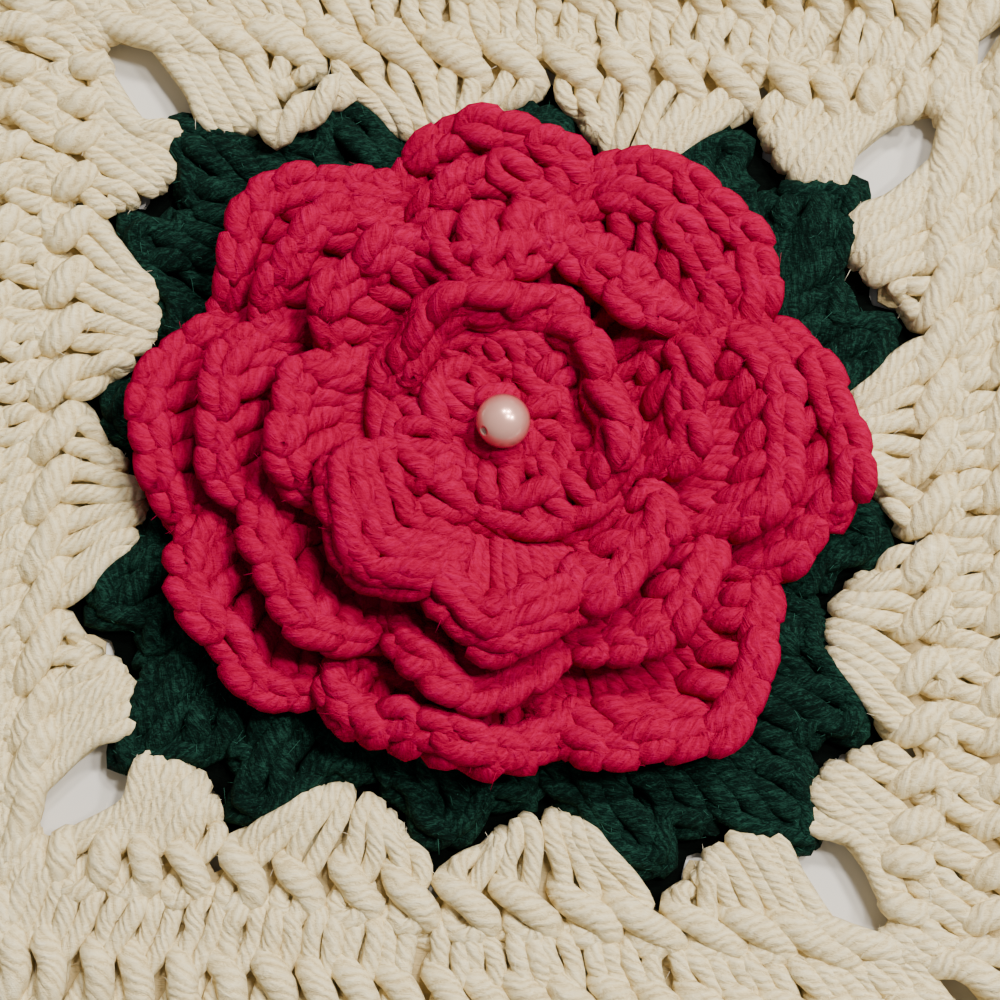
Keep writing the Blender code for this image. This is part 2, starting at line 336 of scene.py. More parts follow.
        height = add_node(mat, MATH, TIMES, {1: 2.2 * self.streak}, {0: fibre})
        height = add_node(mat, MATH, ADD, {1: self.ply_height}, {0: ply, 2: height})
        height = add_node(mat, MATH, ADD, {1: self.grain_height}, {0: grain, 2: height})
        bump = add_node(mat, "ShaderNodeBump", values={"Strength": 0.75, "Distance": self.relief_mm * MM},
                        links={"Height": height})
        mat.node_tree.links.new(base.outputs[0], shader.inputs["Base Color"])
        mat.node_tree.links.new(bump.outputs[0], shader.inputs["Normal"])
        shader.inputs["Roughness"].default_value = 0.9
        shader.inputs["Specular IOR Level"].default_value = self.gloss
        shader.inputs["Sheen Weight"].default_value = self.sheen
        shader.inputs["Sheen Roughness"].default_value = 0.5
        shader.inputs["Sheen Tint"].default_value = linear(self.fibre_highlight)
        return mat

    def core(self) -> "YarnFinish":
        """The same yarn far down between the strands: felted, without plies and painted in their shadow's
        colour.
        """
        return replace(self, name=self.name + "_core", colour=self.gap_shade, shade=self.gap_shade,
                       fibre_highlight=self.shade, ply_height=0.0, groove_shade=0.0, streak=0.1)

    def loose_fibre(self) -> bpy.types.Material:
        """Build the material of its loose fibres: a lighter copy of the yarn's colour, a painted highlight of
        fibre catching the light, which blurs the strands' edges.

        Returns:
            The material.
        """
        mat, shader = new_material(self.name + "_fuzz")
        # Painted highlight: the loose fibres take a lighter copy of the yarn's colour
        shader.inputs["Base Color"].default_value = linear(self.fuzz_highlight)
        shader.inputs["Roughness"].default_value = 0.8
        shader.inputs["Specular IOR Level"].default_value = 0.0
        return mat


@dataclass(frozen=True)
class PearlFinish:
    """Moulded acrylic bead under a lacquer of pearl flakes: a milky pink-ivory with a clear gloss."""

    name: str = "pearl_lacquered_bead"
    colour: str = "F6B6A6"
    edge_shade_reflection: str = "B8404E"

    def material(self) -> bpy.types.Material:
        """Build the node material of the bead.

        Returns:
            The material.
        """
        mat, shader = new_material(self.name)
        place = add_node(mat, "ShaderNodeTexCoord").outputs["Object"]
        cloud = add_node(mat, "ShaderNodeTexNoise", values={"Scale": 420.0, "Detail": 3.0},
                         links={"Vector": place})
        # Painted shade and painted reflection of the red rose: the bead turns darker and redder towards its
        # edge as the eye sees it
        edge = add_node(mat, "ShaderNodeLayerWeight", values={"Blend": 0.35}).outputs["Facing"]
        tone = add_node(mat, MATH, ADD, {1: 0.35}, {0: cloud, 2: edge})
        base = add_node(mat, "ShaderNodeValToRGB", links={0: tone})
        for stop, (position, colour) in zip(base.color_ramp.elements, (
                (0.25, self.colour), (1.0, self.edge_shade_reflection))):
            stop.position, stop.color = position, linear(colour)
        mat.node_tree.links.new(base.outputs[0], shader.inputs["Base Color"])
        shader.inputs["Metallic"].default_value = 0.45
        shader.inputs["Roughness"].default_value = 0.25
        shader.inputs["Coat Weight"].default_value = 1.0
        shader.inputs["Coat Roughness"].default_value = 0.10
        return mat


# Each yarn gives its own colour, a darker copy painted as shade in its grooves, a lighter copy painted as
# highlight on its fibre, a lighter one for its loose fibres, also a painted highlight, and a dark one painted
# as shade in the gaps between its strands
# Plump ivory yarn: its plies show as soft ropes in the posts
CREAM_YARN = YarnFinish(
    "cream_acrylic_yarn", "cream_yarn",
    colour="F5E2AF", shade="D2BA88", fibre_highlight="FFF3CB", fuzz_highlight="FFF6DC", gap_shade="BFAA7C")
# Nearly black green, brushed: the fibre catches the light before the plies do
GREEN_YARN = YarnFinish(
    "bottle_green_acrylic_yarn", "green_yarn",
    colour="051914", shade="020705", fibre_highlight="1E4438", fuzz_highlight="3A6E5E", gap_shade="010503",
    ply_height=0.35, groove_shade=0.08, streak=0.5, streak_long_mm=0.9)
# Deep rose red without gloss or sheen, which would turn it pink
RED_YARN = YarnFinish(
    "rose_red_acrylic_yarn", "red_yarn",
    colour="A80039", shade="8A002B", fibre_highlight="B6004B", fuzz_highlight="BA0448", gap_shade="7C0022",
    ply_height=0.5, groove_shade=0.14, streak=0.6, streak_long_mm=1.4, gloss=0.0, sheen=0.0)


# ---- yarn ----------------------------------------------------------------------


def distances(points: np.ndarray) -> np.ndarray:
    """Distances from each point of a line to the next."""
    return np.linalg.norm(np.diff(points[:, :3], axis=0), axis=1)


def about(centre: tuple[float, float], bearing: np.ndarray, radius: np.ndarray,
          height: np.ndarray) -> np.ndarray:
    """Points about an upright axis.

    Args:
        centre: where the axis stands.
        bearing: radians clockwise from +Y.
        radius: distances from the axis.
        height: heights above the floor.

    Returns:
        The points, one row each.
    """
    return np.stack([centre[0] + radius * np.sin(bearing), centre[1] + radius * np.cos(bearing), height], -1)


def smooth_route(points: np.ndarray, step: float) -> np.ndarray:
    """Run a smooth endless line through points and sample it at even steps.

    Args:
        points: a row for each point, its place first and then its thickness.
        step: the distance between samples.

    Returns:
        The samples, rows of the same kind.
    """
    rim = np.vstack([points[-1], points, points[0], points[1]])
    before, here, there, after = rim[:-3], rim[1:-2], rim[2:-1], rim[3:]
    fine = []
    for share in np.linspace(0.0, 1.0, 8, endpoint=False):
        a, b = share ** 2, share ** 3
        fine.append(0.5 * (2 * here + (there - before) * share
                           + (2 * before - 5 * here + 4 * there - after) * a
                           + (3 * here - before - 3 * there + after) * b))
    line = np.stack(fine, 1).reshape(-1, 4)
    line = np.vstack([line, line[0]])
    gone = np.concatenate([[0.0], np.cumsum(distances(line))])
    marks = np.linspace(0.0, gone[-1], max(4, round(gone[-1] / step)), endpoint=False)
    return np.stack([np.interp(marks, gone, line[:, k]) for k in range(4)], 1)


def mesh_of(curve: bpy.types.Curve) -> bpy.types.Mesh:
    """Make a mesh of a curve and its bevel.

    Args:
        curve: the curve.

    Returns:
        The mesh, which doesn't depend on the curve.
    """
    holder = bpy.data.objects.new(curve.name + "_route", curve)
    bpy.context.scene.collection.objects.link(holder)
    depsgraph = bpy.context.evaluated_depsgraph_get()
    mesh = bpy.data.meshes.new_from_object(holder.evaluated_get(depsgraph), depsgraph=depsgraph)
    bpy.data.objects.remove(holder)
    return mesh


def add_piece(name: str, mesh: bpy.types.Mesh, material: bpy.types.Material) -> bpy.types.Object:
    """Put a mesh in the scene as a piece that rides on the cloth.

    Args:
        name: the piece's name.
        mesh: its mesh, in metres.
        material: its finish.

    Returns:
        The piece.
    """
    mesh.name = name
    mesh.shade_smooth()
    mesh.materials.clear()
    mesh.materials.append(material)
    piece = bpy.data.objects.new(name, mesh)
    bpy.context.scene.collection.objects.link(piece)
    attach(piece, "root")
    LOG.info("%s: %d faces", name, len(mesh.polygons))
    return piece


@dataclass
class Yarn:
    """Strands of one yarn, gathered into one mesh.

    A strand's middle stays so many radii above the floor, and its thickness swells and
    thins by a small share.
    """

    finish: YarnFinish
    radius: float
    step: float = 1.30
    sides: int = 8
    off_floor: float = 1.09
    swell: float = 0.08
    strands: list[np.ndarray] = field(default_factory=list)

    def lay(self, points: np.ndarray) -> None:
        """Add an endless strand, which rests on the floor where it would sink.

        Args:
            points: the points that the strand runs through, in millimetres, and its
                thickness there.
        """
        line = smooth_route(points, self.step)
        line[:, 2] = np.maximum(line[:, 2], self.radius * line[:, 3] * self.off_floor)
        self.strands.append(line)

    def length(self) -> float:
        """Metres of yarn in all the strands."""
        return sum(distances(strand).sum() for strand in self.strands) * MM

    def build(self, name: str) -> bpy.types.Object:
        """Give the strands their body.

        Args:
            name: the piece's name.

        Returns:
            A mesh with a UV map in metres along and turns around.
        """
        curve = bpy.data.curves.new(name, "CURVE")
        curve.dimensions = "3D"
        curve.bevel_depth = self.radius * MM
        curve.bevel_resolution = self.sides // 2 - 2
        rng = np.random.default_rng(len(self.strands))
        for strand in self.strands:
            spline = curve.splines.new("POLY")
            spline.points.add(len(strand) - 1)
            rows = np.hstack([strand[:, :3] * MM, np.ones((len(strand), 1))])
            spline.points.foreach_set("co", rows.astype(np.float32).ravel())
            wave = rng.normal(0.0, 1.0, len(strand))
            wave = np.convolve(np.r_[wave[-6:], wave, wave[:6]], np.ones(5) / 5, "same")[6:-6]
            thickness = strand[:, 3] * (1.0 + self.swell * np.clip(wave, -1.0, 1.0))
            spline.points.foreach_set("radius", thickness.astype(np.float32))
            spline.use_cyclic_u = True
            spline.use_smooth = True
        mesh = mesh_of(curve)
        uv = np.zeros(len(mesh.loops) * 2, np.float32)
        layer = mesh.uv_layers[0]
        layer.data.foreach_get("uv", uv)
        uv = uv.reshape(-1, 2)
        start = 0
        for strand in self.strands:
            end = start + len(strand) * self.sides * 4
            uv[start:end, 0] *= len(strand) * self.step * MM
            start = end
        layer.data.foreach_set("uv", uv.ravel())
        LOG.info("%s: %.1f m of yarn", name, self.length())
        return add_piece(name, mesh, self.finish.material())


@dataclass
class Fuzz:
    """Loose ends of fibre that stand a little off the strands.

    A fibre leans along its strand, one way or the other, more than it stands off it, and
    strays from that. Lengths are shares of the usual one. A real fibre is too thin to
    show, so it is made thicker.
    """

    finish: YarnFinish
    count: int
    long: float = 1.1
    lengths: tuple[float, float] = (0.4, 1.5)
    thickness: float = 0.06
    upward: float = 0.3
    stand: float = 0.5
    lean: float = 0.6
    stray: float = 0.4
    root_depth: float = 0.9
    off_floor: float = 0.2
    seed: int = 1

    def hair(self, strand: np.ndarray, radius: float, rng: np.random.Generator) -> np.ndarray:
        """The root and tip of one fibre.

        Args:
            strand: the strand's points and thickness.
            radius: the yarn's radius.
            rng: chooses where it stands and how it lies.

        Returns:
            Two points in millimetres.
        """
        here = int(rng.integers(len(strand) - 1))
        along = strand[here + 1, :3] - strand[here - 1, :3]
        along /= np.linalg.norm(along)
        off = rng.normal(0.0, 1.0, 3)
        off[2] = abs(off[2]) + self.upward
        off -= along * (off @ along)
        off /= np.linalg.norm(off)
        lie = along * rng.choice((-self.lean, self.lean)) + rng.normal(0.0, self.stray, 3)
        root = strand[here, :3] + off * radius * strand[here, 3] * self.root_depth
        tip = root + (off * self.stand + lie) * self.long * rng.uniform(*self.lengths)
        points = np.stack([root, tip])
        points[:, 2] = np.maximum(points[:, 2], self.off_floor)
        return points

    def build(self, name: str, yarns: list[Yarn]) -> bpy.types.Object:
        """Scatter the fibres over strands, more on the longer ones.

        Args:
            name: the piece's name.
            yarns: the yarns whose strands they stand on.

        Returns:
            The piece.
        """
        rng = np.random.default_rng(self.seed)
        strands = [(strand, yarn.radius) for yarn in yarns for strand in yarn.strands]
        share = np.array([len(strand) for strand, _ in strands], float)
        curve = bpy.data.curves.new(name, "CURVE")
        curve.dimensions = "3D"
        curve.bevel_depth = self.thickness / 2.0 * MM
        curve.bevel_resolution = 0
        curve.use_fill_caps = True
        for which in rng.choice(len(strands), self.count, p=share / share.sum()):
            spline = curve.splines.new("POLY")
            spline.points.add(1)
            for point, spot, size in zip(spline.points, self.hair(*strands[which], rng), (1.0, 0.5)):
                point.co = (*(spot * MM), 1.0)
                point.radius = size
        mesh = mesh_of(curve)
        # The caps come unjoined from the curve
        bm = bmesh.new()
        bm.from_mesh(mesh)
        bmesh.ops.remove_doubles(bm, verts=bm.verts, dist=1e-7)
        bm.to_mesh(mesh)
        bm.free()
        return add_piece(name, mesh, self.finish.loose_fibre())


Place = Callable[[np.ndarray, np.ndarray], np.ndarray]


@dataclass
class ShadedGround:
    """The thin middle of a crocheted cloth, where its strands cross and felt together.

    It closes the gaps between strands that are finer than the yarn's loose fibres, and takes
    the colour of their shadow, so it is painted shade. Each patch is a grid whose corners run
    from 0 to 1 both ways, laid where place() puts its points.
    """

    finish: YarnFinish
    thickness: float = 0.8
    patches: list[tuple[int, int, Place]] = field(default_factory=list)

    def build(self, name: str, holes: list[tuple[Vector, float]] | None = None) -> bpy.types.Object:
        """Lay the patches and give them their thickness.

        Args:
            name: the piece's name.
            holes: places in metres and radii around them where the cloth is open.

        Returns:
            The piece.
        """
        bm = bmesh.new()
        layer = bm.loops.layers.uv.new("UVMap")
        for columns, rows, place in self.patches:
            made = bmesh.ops.create_grid(bm, x_segments=columns, y_segments=rows, size=1.0)["verts"]
            shares = np.array([(v.co.x, v.co.y) for v in made]) / 2.0 + 0.5
            for vert, spot in zip(made, place(shares[:, 0], shares[:, 1]) * MM):
                vert.co = spot
            bmesh.ops.remove_doubles(bm, verts=made, dist=0.00002)
        for centre, reach in holes or []:
            inside = [f for f in bm.faces if (f.calc_center_median().xy - centre.xy).length < reach]
            bmesh.ops.delete(bm, geom=inside, context="FACES")
        bmesh.ops.recalc_face_normals(bm, faces=bm.faces)
        for face in bm.faces:
            for loop in face.loops:
                loop[layer].uv = loop.vert.co.xy
        bmesh.ops.solidify(bm, geom=bm.faces, thickness=self.thickness * MM)
        bmesh.ops.recalc_face_normals(bm, faces=bm.faces)
        mesh = bpy.data.meshes.new(name)
        bm.to_mesh(mesh)
        bm.free()
        # Painted shade: the sheet takes the shadow colour of the yarn
        return add_piece(name, mesh, self.finish.core().material())


# How far the stitches of an even hand stray: a post's lean in stitch widths, its top in
# stitch heights, its wraps as a share of their depth, and each point of its route in widths
LEAN, RISE, PULL, SLACK = 0.05, 0.015, 0.06, 0.028


@dataclass
class Row:
    """A row of stitches. Each kind of row says where its cloth lies.

    Depth flattens a stitch against the cloth. Sag above 1 lowers the wraps on the posts.
    Rim thickens the loops along the top edge, and top_set moves them out, in yarn radii.
    """

    stitch: Stitch
    count: int
    radius: float
    depth: float = 0.85
    top_set: float = 0.0
    sag: float = 1.0
    unevenness: float = 1.0
    rim: float = 1.0

    def place(self, number: int, across: np.ndarray, up: np.ndarray) -> np.ndarray:
        """Where points of one stitch lie on the cloth's middle surface, in millimetres."""
        raise NotImplementedError

    def tallness(self, number: int) -> float:
        """Millimetres from the base of a stitch to its top."""
        spots = self.place(number, np.zeros(7), np.linspace(0.0, 1.0, 7))
        return float(distances(spots).sum())

    def route(self, number: int, rng: np.random.Generator) -> np.ndarray:
        """The yarn's route through one stitch.

        Args:
            number: which stitch of the row.
            rng: gives the stitch its unevenness.

        Returns:
            Points in millimetres and the yarn's thickness there.
        """
        post = np.array(self.stitch.value, float)
        post[:, 1] = np.where(post[:, 1] > 0.0, np.abs(post[:, 1]) ** self.sag, post[:, 1])
        top = np.array(TOP_LOOP, float) + (0.0, 0.0, self.top_set, 0.0)
        top[:, 1] = 1.0 + top[:, 1] * self.radius * self.rim / max(self.tallness(number), 4.0)
        top[:, 3] *= self.rim
        table = np.vstack([post, top])
        lean, rise, pull = rng.normal(0.0, 1.0, 3) * self.unevenness
        across = table[:, 0] + LEAN * lean * (1.0 - table[:, 1])
        up = table[:, 1] * (1.0 + RISE * rise)
        away = table[:, 2] * (1.0 + PULL * pull) * self.depth
        loose = rng.normal(0.0, SLACK * self.unevenness, (2, len(table)))
        across, away = across + loose[0], away + 3.0 * loose[1]
        return np.column_stack([self.lift(number, across, up, away * self.radius), table[:, 3]])

    def lift(self, number: int, across: np.ndarray, up: np.ndarray, away: np.ndarray) -> np.ndarray:
        """Points of a stitch at distances in millimetres off the cloth's middle surface."""
        here = self.place(number, across, up)
        right = self.place(number, across + 0.02, up) - here
        over = self.place(number, across, up + 0.02) - here
        out = np.cross(right, over)
        out /= np.maximum(np.linalg.norm(out, axis=1, keepdims=True), 1e-9)
        return here + out * away[:, None]

    def round_route(self, seed: int) -> np.ndarray:
        """The endless route of the whole row, its stitches joined."""
        rng = np.random.default_rng(seed)
        return np.vstack([self.route(i, rng) for i in range(self.count)])

    def open_route(self, seed: int) -> np.ndarray:
        """The route of a row with two ends: its stitches, then back along its base behind."""
        back = np.vstack([self.lift(i, np.array([-0.3, 0.3]), np.array([0.04, 0.04]),
                                    np.full(2, -1.2 * self.depth * self.radius))
                          for i in reversed(range(self.count))])
        return np.vstack([self.round_route(seed), np.column_stack([back, np.ones(len(back))])])


# ---- the square ----------------------------------------------------------------


@dataclass
class SquareForm:
    """Where the rounds of the square lie, as half-widths, with their hand-made unevenness.

    Spreads are in notches of the border's inner edge, from one notch to the next. The
    square is turned whole out to one ring, and its turn fades out to the last round.
    """

    tip: float = 46.0
    notch: float = 55.0
    corner_notch: float = 52.8
    first: float = 62.0
    second: float = 74.7
    edge: float = 79.5
    leaf_peak: float = 51.5
    leaf_corner: float = 46.5
    leaf_gap: float = 44.6
    leaf_clear: float = 0.7
    notch_spread: float = 0.26
    leaf_spread: float = 0.40
    under_tip: float = 48.0
    under_notch: float = 1.5
    under_corner: float = 1.0
    under_spread: float = 0.30
    turned_to: float = 52.0
    hole_rings: tuple[tuple[float, float, float], ...] = ((49.6, 5.8, 5.4), (64.5, 4.8, 3.6))
    twist: float = math.radians(3.0)
    clusters: int = 4
    notch_places: tuple[float, ...] = (-1.0, -0.47, 0.06, 0.56, 1.0)
    corner_pulls: tuple[tuple[float, float, float, float], ...] = (
        # corner across, corner up, pulled across, pulled up
        (-1, 1, -2.7, 0.3),
        (1, 1, 0.6, -0.4),
        (1, -1, 1.0, 0.7),
        (-1, -1, 0.6, 3.8),
    )

    def settle(self, x: np.ndarray, y: np.ndarray) -> np.ndarray:
        """Turn and pull points of the true square to where the rounds lie.

        Args:
            x: places across.
            y: places up the square.

        Returns:
            Points at height 0, one row each.
        """
        ring = np.maximum(np.abs(x), np.abs(y))
        share = np.clip((ring - self.turned_to) / (self.second - self.turned_to), 0.0, 1.0)
        hold = 1.0 - share * share * (3.0 - 2.0 * share)
        turn = -self.twist * hold
        new_x = x * np.cos(turn) - y * np.sin(turn)
        new_y = x * np.sin(turn) + y * np.cos(turn)
        for corner_x, corner_y, pull_x, pull_y in self.corner_pulls:
            wide = np.maximum(0.0, 1 + corner_x * x / self.tip)
            high = np.maximum(0.0, 1 + corner_y * y / self.tip)
            weight = np.minimum(1.0, wide * high / 4) * hold
            new_x = new_x + pull_x * weight
            new_y = new_y + pull_y * weight
        return np.stack([new_x, new_y, np.zeros_like(new_x)], -1)

    def at(self, turns: np.ndarray, ring: np.ndarray) -> np.ndarray:
        """Points on the square.

        Args:
            turns: sides gone clockwise from the corner at -X +Y, 0 to 4.
            ring: half-width of the square through each point.

        Returns:
            Points at height 0, one row each.
        """
        side = np.floor(turns)
        place = -1.0 + 2.0 * (turns - side)
        angle = math.pi / 2 * side
        x = ring * np.sin(angle) + ring * place * np.cos(angle)
        y = ring * np.cos(angle) - ring * place * np.sin(angle)
        return self.settle(x, y)

    def part(self, spots: np.ndarray) -> np.ndarray:
        """Push points out of the holes in the corners, which the rounds are worked around.

        Args:
            spots: points on the cloth.

        Returns:
            The same points, none within a hole.
        """
        for corner_x, corner_y, *_ in self.corner_pulls:
            along = np.array([corner_x, corner_y, 0.0]) / math.sqrt(2.0)
            beside = np.array([-along[1], along[0], 0.0])
            for ring, half_long, half_wide in self.hole_rings:
                middle = self.settle(np.array([corner_x * ring]), np.array([corner_y * ring]))[0]
                offset = spots - middle
                far, wide = offset @ along / half_long, offset @ beside / half_wide
                away = np.maximum(np.hypot(far, wide), 0.05)
                push = np.where(away < 3.5, np.sqrt(away ** 2 + np.exp(-away ** 2 / 1.8)) / away, 1.0)
                spots = middle + along * (far * half_long * push)[:, None] \
                    + beside * (wide * half_wide * push)[:, None]
        return spots

    def turns_of(self, steps: np.ndarray) -> np.ndarray:
        """Turn notch numbers, which may be between notches, into sides gone clockwise."""
        steps = np.mod(steps, 4.0 * self.clusters)
        side = np.floor(steps / self.clusters)
        within = steps - side * self.clusters
        place = np.interp(within, np.arange(self.clusters + 1), self.notch_places)
        return side + 0.5 + place / 2

    def off_notch(self, steps: np.ndarray, spread: float) -> tuple[np.ndarray, np.ndarray]:
        """How far points are off the nearest notch.

        Args:
            steps: notch numbers, which may be between notches.
            spread: how far off it still matters.

        Returns:
            Shares of the spread, up to 1, and whether the notch is at a corner.
        """
        nearest = np.round(steps)
        return np.minimum(1.0, np.abs(steps - nearest) / spread), np.mod(nearest, self.clusters) == 0

    def border_ring(self, steps: np.ndarray) -> np.ndarray:
        """Half-width of the border's inner edge: round tips with V-shaped notches between."""
        off, corner = self.off_notch(steps, self.notch_spread)
        notch = np.where(corner, self.corner_notch, self.notch)
        return self.tip + (notch - self.tip) * (0.5 + 0.5 * np.cos(math.pi * off))

    def leaf_ring(self, steps: np.ndarray) -> np.ndarray:
        """Half-width of the leaves' outer edge: a blunt peak in each notch, a gap at each tip."""
        off, corner = self.off_notch(steps, self.leaf_spread)
        peak = np.where(corner, self.leaf_corner, self.leaf_peak)
        return np.minimum(self.leaf_gap + (peak - self.leaf_gap) * (1.0 - off ** 4),
                          self.border_ring(steps) - self.leaf_clear)

    def under_ring(self, steps: np.ndarray) -> np.ndarray:
        """Half-width that the leaves' ground reaches, tucked in below the clusters' tips, where its
        near-black sheet is painted shade in the gaps.
        """
        off, corner = self.off_notch(steps, self.under_spread)
        far = np.where(corner, self.leaf_corner - self.under_corner, self.notch + self.under_notch)
        return self.under_tip + (far - self.under_tip) * (0.5 + 0.5 * np.cos(math.pi * off))


@dataclass
class ClusterRow(Row):
    """The first cream round: clusters that spread from their tips, with notches between."""

    form: SquareForm = field(default_factory=SquareForm)
    per_cluster: int = 4
    mid: float = 2.8
    tip_set: float = 1.3
    tip_pitch: float = 3.5
    arch: float = 0.75
    full_at: float = 0.62
    full_at_corner: float = 0.98

    def place(self, number: int, across: np.ndarray, up: np.ndarray) -> np.ndarray:
        """Out from the cluster's tip, spreading until its columns follow the square's."""
        cluster, which = divmod(number, self.per_cluster)
        from_left = which + 0.5 - across
        steps = 4 * self.form.clusters - cluster - from_left / self.per_cluster
        base = self.form.tip + self.tip_set
        ring = base + (self.form.first - base) * up
        spread = self.form.at(self.form.turns_of(steps), ring)
        centre = self.form.turns_of(np.array([4.0 * self.form.clusters - cluster - 0.5]))
        tip = self.form.at(centre, np.array([base]))[0]
        out = self.form.at(centre, np.array([base + 10.0]))[0] - tip
        out /= np.linalg.norm(out)
        right = np.array([out[1], -out[0], 0.0])
        offset = self.per_cluster / 2 - from_left
        rise = self.arch * offset ** 2 + (self.form.first - base) * up
        straight = tip + right * (offset * self.tip_pitch)[:, None] + out * rise[:, None]
        corner = 1.0 - np.minimum(1.0, np.abs(steps / 4.0 - np.round(steps / 4.0)) * 4.0)
        early = 1.0 - (1.0 - np.clip(up / self.full_at, 0.0, 1.0)) ** 2
        late = np.clip(up / self.full_at_corner, 0.0, 1.0) ** 1.9
        share = (early + (late - early) * corner)[:, None]
        spot = self.form.part(straight * (1.0 - share) + spread * share)
        spot[:, 2] = self.mid + 0.6 * np.clip(0.5 - up, 0.0, 0.5)
        return spot


@dataclass
class SquareRow(Row):
    """A cream round or edging along the square, its base at one ring and its top at the next.

    Gather draws the posts' feet in at the corners, into the hole of the round below.
    """

    form: SquareForm = field(default_factory=SquareForm)
    inner: float = 62.0
    outer: float = 74.7
    mid: float = 2.8
    gather: float = 0.0
    gather_width: float = 9.0

    def place(self, number: int, across: np.ndarray, up: np.ndarray) -> np.ndarray:
        """Straight out from the ring below to the ring above, parted around the corner holes."""
        turns = np.mod(4.0 - (number + 0.5 - across) * 4.0 / self.count, 4.0)
        corner = np.round(turns)
        away = (turns - corner) * 2.0 * self.inner
        near = np.exp(-(away / self.gather_width) ** 2) * np.clip(1.0 - up, 0.0, 1.1)
        ring = self.inner + (self.outer - self.inner) * up - self.gather * near
        closer = 1.0 - 0.5 * near * min(1.0, self.gather)
        turns = np.mod(corner + away * closer / (2.0 * self.inner), 4.0)
        spot = self.form.part(self.form.at(turns, ring))
        spot[:, 2] = self.mid
        return spot


@dataclass
class CreamBorder:
    """The cream border: a round of clusters, a round of posts and a plain edging."""

    form: SquareForm = field(default_factory=SquareForm)
    radius: float = CREAM_RADIUS
    knot_start: tuple[float, float, float] = (-22.6, 52.2, 6.4)
    knot_end: tuple[float, float, float] = (-31.8, 45.4, 7.4)
    knot_twist: float = 2.2 * math.pi
    knot_apart: float = 1.25
    ground_height: float = 2.4
    ground_in: float = 3.0
    ground_out: float = 2.6
    ground_hole: float = 4.8

    def ground_spot(self, around: np.ndarray, out: np.ndarray) -> np.ndarray:
        """A point of the ground, from the clusters' tips out to the edging."""
        steps = around * 16.0
        inner = self.form.border_ring(steps) + self.ground_in
        outer = self.form.edge - self.ground_out
        spot = self.form.part(self.form.at(self.form.turns_of(steps), inner + (outer - inner) * out))
        spot[:, 2] = self.ground_height
        return spot

    def knot(self) -> np.ndarray:
        """The route of the joining knot: a short loop of two twisted strands, laid on the leaves."""
        turn = np.linspace(0.0, 2.0 * math.pi, 40, endpoint=False)
        start, end = np.array(self.knot_start), np.array(self.knot_end)
        along = (end - start) / np.linalg.norm(end - start)
        beside = np.cross(along, (0.0, 0.0, 1.0))
        share = 0.5 - 0.5 * np.cos(turn)
        twist = self.knot_twist * share + np.where(turn > math.pi, math.pi, 0.0)
        off = self.knot_apart * np.stack([np.cos(twist), np.sin(twist)], 1)
        spots = start + (end - start) * share[:, None] + beside * off[:, :1]
        spots[:, 2] += off[:, 1]
        return np.column_stack([spots, np.full(len(turn), 1.0)])

    def build(self) -> None:
        """Work the three rounds on their ground."""
        first = Yarn(CREAM_YARN, radius=self.radius)
        first.lay(ClusterRow(Stitch.DOUBLE, 64, radius=self.radius, form=self.form,
                             top_set=-1.5, sag=0.8, unevenness=1.4).round_route(3))
        first.lay(self.knot())
        second = Yarn(CREAM_YARN, radius=self.radius)
        second.lay(SquareRow(Stitch.DOUBLE, 96, radius=self.radius, form=self.form,
                             gather=5.0, top_set=-0.7, sag=1.6, unevenness=2.2).round_route(5))
        edging = Yarn(CREAM_YARN, radius=self.radius)
        edging.lay(SquareRow(Stitch.SINGLE, 92, radius=self.radius, form=self.form,
                             inner=self.form.second, outer=self.form.edge - 1.2).round_route(7))
        rounds = [first.build("cream_first_round"), second.build("cream_second_round"),
                  edging.build("cream_edging"),
                  Fuzz(CREAM_YARN, 6000, seed=61).build("cream_fuzz", [first, second, edging])]
        # Painted shade between the strands: a sheet in the cream's shadow colour, open at the outer corner
        # holes
        ground = ShadedGround(CREAM_YARN, patches=[(256, 20, self.ground_spot)])
        ring = self.form.hole_rings[1][0]
        spots = [self.form.settle(np.array([x * ring]), np.array([y * ring]))[0]
                 for x, y, *_ in self.form.corner_pulls]
        holes = [(Vector(spot) * MM, self.ground_hole * MM) for spot in spots]
        cloth = ground.build("cream_ground", holes)
        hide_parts("cream_border")


# ---- the leaves ----------------------------------------------------------------


@dataclass
class RingRow(Row):
    """A flat or sloping round of stitches about a centre."""

    centre: tuple[float, float] = ROSE_CENTRE
    inner: tuple[float, float] = (2.0, 1.8)
    outer: tuple[float, float] = (6.0, 1.8)
    wobble: float = 0.0

    def place(self, number: int, across: np.ndarray, up: np.ndarray) -> np.ndarray:
        """From the inner radius and height to the outer ones."""
        bearing = 2.0 * math.pi * (1.0 - (number + 0.5 - across) / self.count)
        radius = self.inner[0] + (self.outer[0] - self.inner[0]) * up
        height = self.inner[1] + (self.outer[1] - self.inner[1]) * up
        radius = radius * (1.0 + self.wobble * np.sin(2.0 * bearing + 1.0 + 0.2 * radius))
        height = height + 6.0 * self.wobble * np.cos(3.0 * bearing + 0.5 * radius)
        return about(self.centre, bearing, radius, height)


